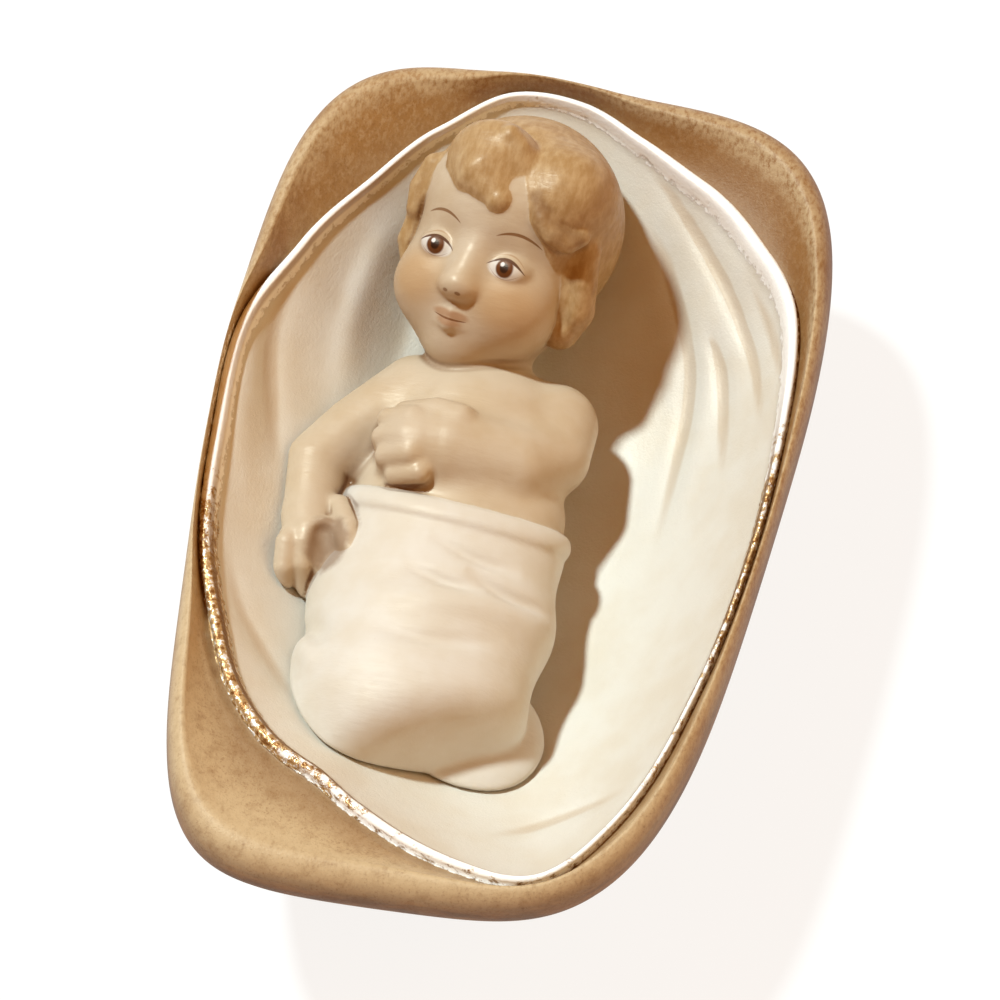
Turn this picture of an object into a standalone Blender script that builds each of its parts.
"""A carved wooden infant, loose in a trough cradle that is lined with a carved cloth.

The cradle is one solid: a ring loft from the floor of its hollow over the cloth, its raised border, the
shelf and the rounded rim, and down the outer wall to the flat base. The infant is one solid too, sculpted
as a distance field of blended ellipsoids and tapered limbs. Its underside is cut to the cloth below it.
+Y points to the head end, +X to the infant's left, and the origin is under the middle of the base.
"""

import bpy
import numpy as np

# Cradle, in metres
CRADLE_LENGTH = 0.0975
CRADLE_WIDTH = 0.061
RIM_HEIGHT = 0.028  # crest of the rim at its four corners
SIDE_DIP = 0.0006  # how much lower the rim runs between its corners
RIM_ROUNDING = 0.0036
# How square the rim's corners are, every 45 degrees from +X: 2 is an ellipse, more is squarer
CORNER_POWERS = (4.4, 4.0, 4.2, 4.2, 4.4, 4.7, 4.4, 3.7)
FOOT_NARROWING = 0.162  # share of the width lost at the foot end
NARROWING_START = 0.015  # where along the cradle it begins
NARROWING_SOFTNESS = 0.02
FOOT_SHIFT = 0.0006  # how far the foot end leans to the infant's right
FOOT_SLANT = 0.03  # how much further its right corner reaches than its left one, per width
BASE_LENGTH = 0.070
BASE_WIDTH = 0.042
BASE_ROUNDING = 0.002
WALL_CURVE = 1.15  # 1 is a straight slope from rim to base, more swells the outer wall
FLOOR_THICKNESS = 0.0080
LIP_DROP = 0.0026  # how far the cloth's edge lies below the corners of the rim
# How the hollow rises to the cloth's edge, every 45 degrees: 2 is a round bowl, more has a flatter floor
HOLLOW_POWERS = (2.7, 2.7, 2.7, 2.1, 1.75, 2.2, 2.8, 2.8)
SHELF_SHARE = 0.4  # least part of the way from the cloth's edge to the rim that the shelf takes
SHELF_BLEND = 0.03
SHELF_CURVE = 1.4  # 1 is a straight slope from the cloth's edge to the rim's crest, more is hollowed

# Carved cloth. Its reach is the share of the way from the middle to the rim, every 15 degrees from +X to +Y.
CLOTH_THICKNESS = 0.0010
CLOTH_REACH = (
    0.950, 0.932, 0.900, 0.815, 0.832, 0.895, 0.962, 0.958, 0.850, 0.780, 0.846, 0.955,
    0.968, 0.955, 0.859, 0.758, 0.750, 0.808, 0.864, 0.904, 0.928, 0.893, 0.902, 0.937,
)
BORDER_WIDTHS = (0.0014, 0.0017, 0.0013, 0.0013, 0.0014, 0.0020, 0.0019, 0.0014)  # every 45 degrees
BORDER_CROWN = 0.00035
BORDER_PROFILE = ((0.25, 0.8), (0.6, 1.0), (0.9, 0.6))  # shares of the border's width and of its crown
# Each fold: height, half width, and its path as shares of the cradle's half width and half length
FOLDS = (
    (-0.0007, 0.0011, ((0.27, 0.86), (0.44, 0.74), (0.58, 0.62), (0.71, 0.49), (0.80, 0.36), (0.83, 0.22))),
    (-0.0007, 0.0011, ((0.32, 0.72), (0.42, 0.64), (0.50, 0.52), (0.54, 0.40), (0.55, 0.25), (0.54, 0.02))),
    (-0.0005, 0.0010, ((0.53, 0.58), (0.62, 0.48), (0.68, 0.38), (0.74, 0.17))),
    (-0.0004, 0.0010, ((0.68, 0.64), (0.79, 0.53), (0.88, 0.40))),
    (0.0006, 0.0018, ((0.40, 0.72), (0.57, 0.55), (0.65, 0.36), (0.65, 0.10))),
    (0.0006, 0.0018, ((0.52, 0.76), (0.70, 0.60), (0.86, 0.38))),
    (-0.0010, 0.0020, ((-0.54, 0.68), (-0.59, 0.48), (-0.59, 0.24))),
    (0.0011, 0.0016, ((-0.60, 0.68), (-0.68, 0.48), (-0.69, 0.33), (-0.68, 0.14))),
    (-0.0010, 0.0016, ((-0.74, 0.44), (-0.78, 0.28), (-0.78, 0.12), (-0.74, -0.06))),
    (0.0010, 0.0016, ((-0.80, 0.42), (-0.88, 0.24), (-0.88, 0.06), (-0.80, -0.14))),
    (-0.0006, 0.0013, ((-0.91, 0.33), (-0.92, 0.15), (-0.90, -0.02))),
    (-0.0005, 0.0014, ((-0.84, -0.22), (-0.74, -0.36), (-0.58, -0.47), (-0.48, -0.54))),
    (-0.0004, 0.0013, ((0.21, -0.74), (0.44, -0.66), (0.66, -0.61))),
)

# Infant. Its pose and carving are in 75ths of its length, from its spine and the floor of the hollow.
FIGURE_LENGTH = 0.075
FIGURE_OFFSET = (-0.0033, -0.0015)  # the figure's own middle, from the cradle's
SEAT_CLEARANCE = 0.0006
HEAD_PLACE = (-1.3, 30.2, 16.2)
HEAD_LEAN = 10  # towards its left shoulder, in degrees
HEAD_NOD = 34.5  # chin towards the chest
HEAD_TURN = -8  # face towards its right
SHINS_PLACE = (-5.6, -29.6, 15.0)
SHINS_DIRECTION = (0.46, -0.85, 0.26)

# Meshes: points round each of the cradle's rings, steps of the infant's grid and its ends, and the faces kept
RING_POINTS = 78
FIELD_STEP = 0.0006
FIELD_LOW = (-22, -34, -3)
FIELD_HIGH = (17, 48, 34)
FIGURE_FACES = 5200


def blend(first, second, width):
    """Union of two distances, rounded over the given width where they meet."""
    near = np.maximum(width - np.abs(first - second), 0) / width
    return np.minimum(first, second) - near * near * width / 4


def carve(solid, cut, width):
    """The first distance with the second one taken out of it, rounded over the given width."""
    return -blend(-solid, cut, width)


def smooth_through(values, angle):
    """Smooth closed curve through values spaced evenly round the cradle from +X, read at these angles."""
    count = len(values)
    values = np.array(values)
    place = np.mod(angle / (2 * np.pi), 1) * count
    start = np.floor(place).astype(int)
    t = place - start
    before, first, second, after = (values[(start + k) % count] for k in (-1, 0, 1, 2))
    slope_in, slope_out = (second - before) / 2, (after - first) / 2
    return (
        first * (2 * t**3 - 3 * t**2 + 1)
        + second * (3 * t**2 - 2 * t**3)
        + slope_in * (t**3 - 2 * t**2 + t)
        + slope_out * (t**3 - t**2)
    )


def curve_through(path, pieces=4):
    """Smooth open curve through the path's points, each span cut into short straight pieces."""
    path = np.array(path)
    padded = np.concatenate([[2 * path[0] - path[1]], path, [2 * path[-1] - path[-2]]])
    t = np.linspace(0, 1, pieces, endpoint=False)[:, None]
    spans = []
    for before, first, second, after in zip(padded, padded[1:], padded[2:], padded[3:]):
        slope = (second - before) / 2
        bend = before - 2.5 * first + 2 * second - after / 2
        twist = 1.5 * (first - second) + (after - before) / 2
        spans.append(first + t * slope + t**2 * bend + t**3 * twist)
    return np.concatenate([*spans, path[-1:]])


def rim_scale(y):
    """Share of the cradle's full half width at this place along it."""
    run = (NARROWING_START - y) / (CRADLE_LENGTH / 2 + NARROWING_START)
    return 1 - FOOT_NARROWING / 2 * (run + np.sqrt(run * run + NARROWING_SOFTNESS))


def foot_lean(x, y):
    """How far the foot end leans and slants, as moves along X and Y."""
    footwards = np.minimum(y / (CRADLE_LENGTH / 2), 0) ** 2
    return -FOOT_SHIFT * footwards, FOOT_SLANT * x * footwards


def superellipse(across, along):
    """Share of the way to the rim for a place given as shares of the half width and half length."""
    power = smooth_through(CORNER_POWERS, np.arctan2(along, across))
    return (np.abs(across) ** power + np.abs(along) ** power) ** (1 / power)


def rim_point(angle, share):
    """Plan of the rim at this angle, shrunk to a share of its way from the middle."""
    across, along = np.cos(angle), np.sin(angle)
    reach = share / superellipse(across, along)
    y = CRADLE_LENGTH / 2 * along * reach
    x = CRADLE_WIDTH / 2 * rim_scale(y) * across * reach
    move_x, move_y = foot_lean(x, y)
    return x + move_x, y + move_y


def rim_share(x, y):
    """Angle and share of the way to the rim, the inverse of rim_point."""
    move_x, move_y = foot_lean(x, y)
    across = (x - move_x) / (CRADLE_WIDTH / 2 * rim_scale(y - move_y))
    along = (y - move_y) / (CRADLE_LENGTH / 2)
    return np.arctan2(along, across), superellipse(across, along)


def rim_crest(angle):
    """Height of the rim's crest: full at the corners, lower along the sides and ends."""
    return RIM_HEIGHT - SIDE_DIP * np.cos(2 * angle) ** 2


def folds_height(x, y):
    """Relief of the carved folds: rounded ridges and creases that swell and fade along their paths."""
    total = np.zeros_like(x)
    for height, half_width, path in FOLDS:
        nearest = np.full_like(x, np.inf)
        swell = np.zeros_like(x)
        points = curve_through(path) * (CRADLE_WIDTH / 2, CRADLE_LENGTH / 2)
        spans = len(points) - 1
        for k in range(spans):
            start, run = points[k], points[k + 1] - points[k]
            t = np.clip(((x - start[0]) * run[0] + (y - start[1]) * run[1]) / (run @ run), 0, 1)
            away = np.hypot(x - start[0] - t * run[0], y - start[1] - t * run[1])
            closer = away < nearest
            nearest = np.where(closer, away, nearest)
            swell = np.where(closer, np.sin(np.pi * (k + t) / spans), swell)
        total += height * swell * np.exp(-((nearest / half_width) ** 2))
    return total


def cloth_height(x, y):
    """Top of the carved cloth, or of the same bowl run on outside the cloth."""
    angle, share = rim_share(x, y)
    depth = RIM_HEIGHT - LIP_DROP - FLOOR_THICKNESS
    reach = smooth_through(CLOTH_REACH, angle)
    rise = (share / reach) ** smooth_through(HOLLOW_POWERS, angle)
    return FLOOR_THICKNESS + depth * rise + folds_height(x, y)


def cradle_rings(angle):
    """The cradle's rings of points, from the middle of the hollow to the middle of the base."""
    reach = smooth_through(CLOTH_REACH, angle)
    edge = np.array(rim_point(angle, reach))
    step = np.roll(edge, -1, axis=1) - np.roll(edge, 1, axis=1)
    normal_reach = np.abs(edge[0] * step[1] - edge[1] * step[0]) / np.hypot(*step)
    border = reach * smooth_through(BORDER_WIDTHS, angle) / normal_reach

    def on_cloth(share, lift):
        x, y = rim_point(angle, share)
        return np.stack([x, y, cloth_height(x, y) + lift], axis=1)

    rings = [on_cloth(t * (reach - border), 0) for t in np.linspace(0.12, 1, 12)]
    rings += [on_cloth(reach - border * (1 - t), BORDER_CROWN * crown) for t, crown in BORDER_PROFILE]

    groove_height = rings[-1][:, 2] - CLOTH_THICKNESS
    widest_crest = 1 - RIM_ROUNDING / CRADLE_WIDTH
    crest = -blend(-widest_crest, -reach - (1 - reach) * SHELF_SHARE, SHELF_BLEND)
    for t in (0, 0.4, 0.75, 1):
        x, y = rim_point(angle, reach + (crest - reach) * t)
        height = groove_height + (rim_crest(angle) - groove_height) * t**SHELF_CURVE
        rings.append(np.stack([x, y, height], axis=1))

    for turn in np.linspace(0, np.pi / 2, 5)[1:]:
        x, y = rim_point(angle, crest + (1 - crest) * np.sin(turn))
        rings.append(np.stack([x, y, rim_crest(angle) - RIM_ROUNDING * (1 - np.cos(turn))], axis=1))
    widest = rings[-1]
    slimmer = np.array([BASE_WIDTH / CRADLE_WIDTH, BASE_LENGTH / CRADLE_LENGTH])
    for t in np.linspace(0, 1, 6)[1:]:
        plan = widest[:, :2] * (1 - (1 - slimmer) * t**WALL_CURVE)
        height = widest[:, 2] + (BASE_ROUNDING - widest[:, 2]) * t
        rings.append(np.column_stack([plan, height]))
    foot = rings[-1]
    for turn in (np.pi / 4, np.pi / 2):
        inset = BASE_ROUNDING * (1 - np.cos(turn))
        plan = foot[:, :2] * (1 - 2 * inset / np.array([BASE_WIDTH, BASE_LENGTH]))
        rings.append(np.column_stack([plan, np.full(len(plan), BASE_ROUNDING * (1 - np.sin(turn)))]))
    return rings


def loft(rings):
    """Closed mesh through rings of equal length, capped by a point at each end."""
    count = len(rings[0])
    points = np.concatenate([rings[0].mean(0)[None], *rings, rings[-1].mean(0)[None]])
    faces = [(0, 1 + k, 1 + (k + 1) % count) for k in range(count)]
    for r in range(len(rings) - 1):
        here, there = 1 + r * count, 1 + (r + 1) * count
        for k in range(count):
            faces.append((here + k, there + k, there + (k + 1) % count, here + (k + 1) % count))
    last = 1 + (len(rings) - 1) * count
    faces += [(last + k, len(points) - 1, last + (k + 1) % count) for k in range(count)]
    return points, faces


def ellipsoid(p, centre, radii):
    """Distance to an ellipsoid, exact on it and close to it nearby."""
    q = (p - centre) / radii
    size = np.sqrt((q * q).sum(1))
    slope = np.sqrt(((q / radii) ** 2).sum(1))
    return size * (size - 1) / np.maximum(slope, 1e-6)


def limb(p, *stops):
    """Distance to a chain of tapered limbs through stops of x, y, z and radius."""
    stops = np.array(stops, float)
    nearest = None
    for start, end in zip(stops[:-1], stops[1:]):
        run = end[:3] - start[:3]
        t = np.clip((p - start[:3]) @ run / (run @ run), 0, 1)
        away = np.sqrt(((p - start[:3] - t[:, None] * run) ** 2).sum(1))
        reach = away - start[3] - (end[3] - start[3]) * t
        nearest = reach if nearest is None else np.minimum(nearest, reach)
    return nearest


def head_axes():
    """Rows: towards the infant's left ear, the crown and the face, for the head as it lies."""
    lean, nod, turn = np.radians((HEAD_LEAN, HEAD_NOD, HEAD_TURN))
    turned = np.array([[np.cos(turn), 0, -np.sin(turn)], [0, 1, 0], [np.sin(turn), 0, np.cos(turn)]])
    nodded = np.array([[1, 0, 0], [0, np.cos(nod), -np.sin(nod)], [0, np.sin(nod), np.cos(nod)]])
    leaned = np.array([[np.cos(lean), np.sin(lean), 0], [-np.sin(lean), np.cos(lean), 0], [0, 0, 1]])
    return turned @ nodded.T @ leaned.T


def face(q):
    """Skin of the head, in the head's own axes."""
    skin = ellipsoid(q, (0, 2.2, -1.6), (10.0, 10.6, 11.0))
    skin = blend(skin, ellipsoid(q, (0.2, -4.6, 1.4), (8.6, 9.3, 9.0)), 3)
    skin = blend(skin, ellipsoid(q, (0, 4.2, 2.2), (8.6, 6.6, 8.0)), 2)
    skin = blend(skin, limb(q, (0, -11.0, 5.4, 2.6), (0, -10.4, 3.4, 4.0)), 3.5)
    for side in (-1, 1):
        skin = blend(skin, ellipsoid(q, (side * 4.5, -6.2, 5.0), (4.1, 4.0, 4.4)), 2.5)
        skin = carve(skin, ellipsoid(q, (side * 4.0, -1.2, 12.2), (3.2, 2.4, 2.8)), 2)
        skin = blend(skin, ellipsoid(q, (side * 4.0, -2.0, 7.8), (2.3, 1.7, 2.1)), 0.5)
        skin = blend(skin, ellipsoid(q, (side * 1.15, -5.3, 10.2), (0.9, 0.75, 0.9)), 0.8)
    skin = blend(skin, limb(q, (0, -1.2, 8.8, 0.8), (0, -4.9, 10.9, 1.25)), 2)
    skin = blend(skin, limb(q, (-1.9, -8.3, 8.8, 0.4), (0, -8.0, 9.7, 0.7), (1.9, -8.3, 8.8, 0.4)), 0.7)
    return blend(skin, limb(q, (-1.4, -9.0, 8.8, 0.5), (0, -9.2, 9.5, 0.8), (1.4, -9.0, 8.8, 0.5)), 0.7)


def hair(q):
    """Cap of hair with its forelock, knob, side lock with a curled end, back lock and tufts."""
    cap = ellipsoid(q, (0, 2.2, -1.9), (10.8, 11.4, 12.0))
    cap = carve(cap, ellipsoid(q * (1, 1, 0.35), (-1.4, -5.4, 3.4), (9.6, 12.0, 5.0)), 0.8)
    forelock = ellipsoid(q, (-1.6, 7.7, 6.7), (4.6, 4.6, 3.3))
    forelock = blend(forelock, limb(q, (-1.2, 5.8, 8.2, 2.4), (0.3, 3.9, 9.4, 1.3)), 1.5)
    side = ellipsoid(q, (6.0, 6.6, 3.2), (4.4, 5.4, 6.2))
    curl = limb(
        q,
        (5.0, 5.2, 8.6, 0.6),
        (6.0, 3.9, 8.5, 1.1),
        (7.4, 2.8, 7.8, 1.2),
        (8.8, 2.4, 6.5, 1.2),
        (9.6, 3.6, 5.4, 0.9),
    )
    back = limb(q, (9.6, 1.6, 3.0, 1.6), (9.6, -1.4, 2.6, 2.1), (9.6, -4.2, 2.0, 2.5), (9.0, -6.6, 1.6, 2.1))
    upper_tuft = limb(q, (-9.0, 5.4, 3.6, 1.3), (-9.6, 2.8, 3.8, 1.3), (-9.4, 0.6, 4.4, 0.9))
    lower_tuft = limb(q, (-9.0, 0.0, 3.0, 1.4), (-9.2, -2.8, 3.2, 1.4), (-8.6, -5.0, 3.4, 0.9))
    for lock, width in ((side, 1.6), (forelock, 0.8), (back, 1), (upper_tuft, 1), (lower_tuft, 1)):
        cap = blend(cap, lock, width)
    valley = limb(q, (5.6, 10.4, 7.4, 0.4), (7.8, 8.0, 7.2, 0.6), (9.2, 5.4, 7.0, 0.6))
    parting = limb(q, (8.8, 0.8, 6.2, 0.3), (9.8, -2.6, 4.8, 0.5), (9.9, -5.8, 4.2, 0.4))
    cap = carve(carve(cap, valley, 2.4), parting, 1)
    knob = limb(q, (-1.6, 10.0, 8.4, 0.8), (-0.4, 11.2, 8.0, 1.2), (1.0, 10.4, 7.8, 1.0))
    return blend(blend(cap, curl, 0.4), knob, 0.5)


def torso_of(p):
    """Chest, belly and neck."""
    torso = ellipsoid(p, (-0.2, 11.2, 8.6), (10.2, 8.2, 7.1))
    torso = blend(torso, ellipsoid(p, (-0.6, 2.0, 7.8), (11.2, 9.0, 7.2)), 3)
    return blend(torso, limb(p, (-0.6, 13.0, 8.5, 5.0), (-1.4, 22.0, 11.0, 4.6)), 1)


def right_hand_of(p):
    """The hand that lies over the edge of the swaddle, its fingers bent down at the knuckles."""
    hand = limb(p, (-15.2, -3.0, 9.8, 2.7), (-14.4, -5.4, 10.6, 2.6), (-13.2, -5.6, 11.0, 2.4))
    for k in range(4):
        x, y = -16.4 + 1.85 * k, 0.75 * k
        finger = limb(
            p,
            (x + 0.3, -3.6, 10.6, 1.0),
            (x, -7.2 + y / 2, 11.8, 1.15),
            (x + 0.2, -9.6 + y, 10.9, 1.1),
            (x + 0.5, -11.2 + y, 8.4, 1.0),
        )
        hand = blend(hand, finger, 0.6)
    thumb = limb(p, (-12.2, -1.6, 11.2, 1.2), (-10.6, -4.6, 12.4, 1.2), (-10.0, -6.8, 12.4, 1.0))
    return blend(hand, thumb, 0.6)


def left_hand_of(p):
    """The fist on the chest, its fingers bent under at its end and its thumb along the top."""
    hand = limb(p, (-1.6, 8.2, 16.6, 1.4), (-4.2, 8.8, 16.2, 1.3), (-7.4, 8.4, 15.2, 1.2))
    for x, y, z in ((-8.7, 6.9, 15.4), (-8.5, 4.6, 15.4), (-7.3, 2.5, 15.3), (-5.7, 1.0, 14.8)):
        finger = limb(p, (x + 2.4, y, z + 1.3, 1.1), (x, y, z, 1.2), (x + 0.4, y, z - 2.8, 1.1))
        hand = blend(hand, finger, 0.5)
    return hand


def body_of(p):
    """Torso, arms and hands."""
    right_arm = limb(
        p,
        (-7.6, 14.2, 9.0, 4.3),
        (-12.6, 8.6, 8.9, 3.9),
        (-15.9, 3.8, 9.2, 3.5),
        (-15.3, -3.0, 9.9, 2.7),
    )
    left_arm = limb(
        p,
        (7.2, 13.4, 9.0, 4.6),
        (7.7, 9.3, 10.0, 4.1),
        (4.2, 6.2, 12.0, 4.6),
        (-2.3, 5.9, 13.4, 4.6),
        (-5.6, 5.6, 14.0, 3.9),
    )
    body = blend(torso_of(p), right_arm, 2)
    body = blend(body, left_arm, 1.2)
    body = blend(body, right_hand_of(p), 0.9)
    return blend(body, left_hand_of(p), 0.9)


def swaddle_of(p):
    """Wrapping cloth from the waist to the feet, with its rolled top edge and the flap under the legs."""
    swaddle = ellipsoid(p, (-0.6, -1.5, 7.4), (11.9, 9.5, 7.8))
    swaddle = blend(swaddle, ellipsoid(p, (-0.7, -10.5, 7.8), (12.9, 10.5, 8.4)), 3)
    swaddle = blend(swaddle, ellipsoid(p, (-1.0, -20.6, 8.0), (12.4, 12.2, 9.2)), 3)
    shins = (p - SHINS_PLACE) @ SHINS_DIRECTION
    swaddle = carve(swaddle, -shins, 2.4)
    swaddle = blend(swaddle, ellipsoid(p, (3.8, -22.0, 4.0), (9.6, 8.6, 3.8)), 0.4)
    top = p[:, 1] + 0.05 * p[:, 0] + 0.4 * (p[:, 2] - 10) - 1
    swaddle = carve(swaddle, -top, 0.6)
    roll = np.hypot(1.6 * blend(torso_of(p), swaddle, 1), 0.8 * top + 0.8) - 0.9
    return blend(swaddle, roll, 0.6)


def infant(p):
    """Distance to the infant's surface, in figure units from its seat."""
    q = (p - HEAD_PLACE) @ head_axes().T
    head = blend(face(q), hair(q), 0.3)
    return blend(blend(body_of(p), swaddle_of(p), 0.3), head, 0.8)


def filled(corners):
    """How many faces or cells it fills in: those whose only inside or only outside corners are opposite."""
    inside = np.array([corner < 0 for corner in corners])
    count = inside.sum(0)
    last = len(corners) - 1
    knot = np.zeros(count.shape, bool)
    for k in range(len(corners) // 2):
        first, second = inside[k], inside[last - k]
        knot |= (first & second & (count == 2)) | (~first & ~second & (count == last - 1))
    for corner in corners:
        corner[knot] = np.minimum(corner[knot], -FIELD_STEP / 50)
    return knot.sum()


def settled(field):
    """The field with a little more filled in wherever a mesh of its zero level would touch itself."""

    def corners_of(*spans):
        """Views of the field, one for each corner of a face or cell that spans 0 or 1 steps per axis."""
        near, far = slice(None, -1), slice(1, None)
        choices = [(near, far) if span else (slice(None),) for span in spans]
        return [field[a, b, c] for a in choices[0] for b in choices[1] for c in choices[2]]

    places = [corners_of(0, 1, 1), corners_of(1, 0, 1), corners_of(1, 1, 0), corners_of(1, 1, 1)]
    while sum(filled(corners) for corners in places):
        pass
    return field


def surface_net(field, low, step):
    """Quad mesh of the field's zero level: a point in each mixed cell and a face across each mixed edge."""
    inside = field < 0
    cells = np.array(field.shape) - 1
    total = np.zeros((*cells, 3))
    count = np.zeros(cells)
    whole = [slice(0, n) for n in cells]
    faces = []
    for axis in range(3):
        others = [k for k in range(3) if k != axis]
        low_end = [slice(None)] * 3
        high_end = [slice(None)] * 3
        low_end[axis], high_end[axis] = slice(0, -1), slice(1, None)
        first, second = field[tuple(low_end)], field[tuple(high_end)]
        mixed = inside[tuple(low_end)] != inside[tuple(high_end)]
        place = np.where(mixed, first / np.where(mixed, first - second, 1), 0)
        for a in (0, 1):
            for b in (0, 1):
                window = list(whole)
                window[others[0]] = slice(a, a + cells[others[0]])
                window[others[1]] = slice(b, b + cells[others[1]])
                hit = mixed[tuple(window)]
                count += hit
                total[..., axis] += place[tuple(window)]
                total[..., others[0]] += a * hit
                total[..., others[1]] += b * hit
    used = count > 0
    index = np.full(cells, -1)
    index[used] = np.arange(used.sum())
    points = low + step * (np.argwhere(used) + total[used] / count[used][:, None])
    for axis in range(3):
        u, v = [k for k in range(3) if k != axis] if axis != 1 else (2, 0)
        low_end = [slice(1, -1)] * 3
        high_end = [slice(1, -1)] * 3
        low_end[axis], high_end[axis] = slice(0, -1), slice(1, None)
        rising = inside[tuple(low_end)] & ~inside[tuple(high_end)]
        falling = ~inside[tuple(low_end)] & inside[tuple(high_end)]
        for found, turned in ((rising, False), (falling, True)):
            at = np.argwhere(found)
            at[:, u] += 1
            at[:, v] += 1
            corners = []
            for du, dv in ((-1, -1), (0, -1), (0, 0), (-1, 0)):
                cell = at.copy()
                cell[:, u] += du
                cell[:, v] += dv
                corners.append(index[tuple(cell.T)])
            quad = np.stack(corners, axis=1)
            faces.append(quad[:, ::-1] if turned else quad)
    return points, np.concatenate(faces)


def carved_infant():
    """Points and faces of the infant, its underside cut to the cloth."""
    unit = FIGURE_LENGTH / 75
    seat = np.array([*FIGURE_OFFSET, FLOOR_THICKNESS])
    low = np.array(FIELD_LOW) * unit + seat
    counts = np.ceil((np.array(FIELD_HIGH) - FIELD_LOW) * unit / FIELD_STEP).astype(int)
    axes = [low[k] + FIELD_STEP * np.arange(counts[k]) for k in range(3)]
    grid = np.stack(np.meshgrid(*axes, indexing="ij"), axis=-1).reshape(-1, 3)
    field = infant((grid - seat) / unit) * unit
    seat_gap = cloth_height(grid[:, 0], grid[:, 1]) + SEAT_CLEARANCE - grid[:, 2]
    field = np.maximum(field, seat_gap * 0.8)
    return surface_net(settled(field.reshape(counts)), low, FIELD_STEP)


def wood(name, colour, roughness):
    """Painted or stained wood of one colour."""
    material = bpy.data.materials.new(name)
    material.use_nodes = True
    shader = material.node_tree.nodes["Principled BSDF"]
    shader.inputs["Base Color"].default_value = (*colour, 1)
    shader.inputs["Roughness"].default_value = roughness
    return material


def add(name, points, faces, material):
    """New smooth-shaded object of this mesh."""
    mesh = bpy.data.meshes.new(name)
    mesh.from_pydata(points.tolist(), [], [tuple(int(k) for k in face) for face in faces])
    mesh.materials.append(material)
    mesh.shade_smooth()
    mesh.validate()
    piece = bpy.data.objects.new(name, mesh)
    bpy.context.scene.collection.objects.link(piece)
    return piece


def main():
    for leftover in list(bpy.data.objects):
        bpy.data.objects.remove(leftover)
    angles = np.arange(RING_POINTS) * 2 * np.pi / RING_POINTS
    add("cradle", *loft(cradle_rings(angles)), wood("stained_wood", (0.36, 0.20, 0.08), 0.5))
    points, faces = carved_infant()
    figure = add("infant", points, faces, wood("painted_wood", (0.72, 0.52, 0.32), 0.5))
    thin = figure.modifiers.new("fewer_faces", "DECIMATE")
    thin.ratio = FIGURE_FACES / (2 * len(faces))


main()
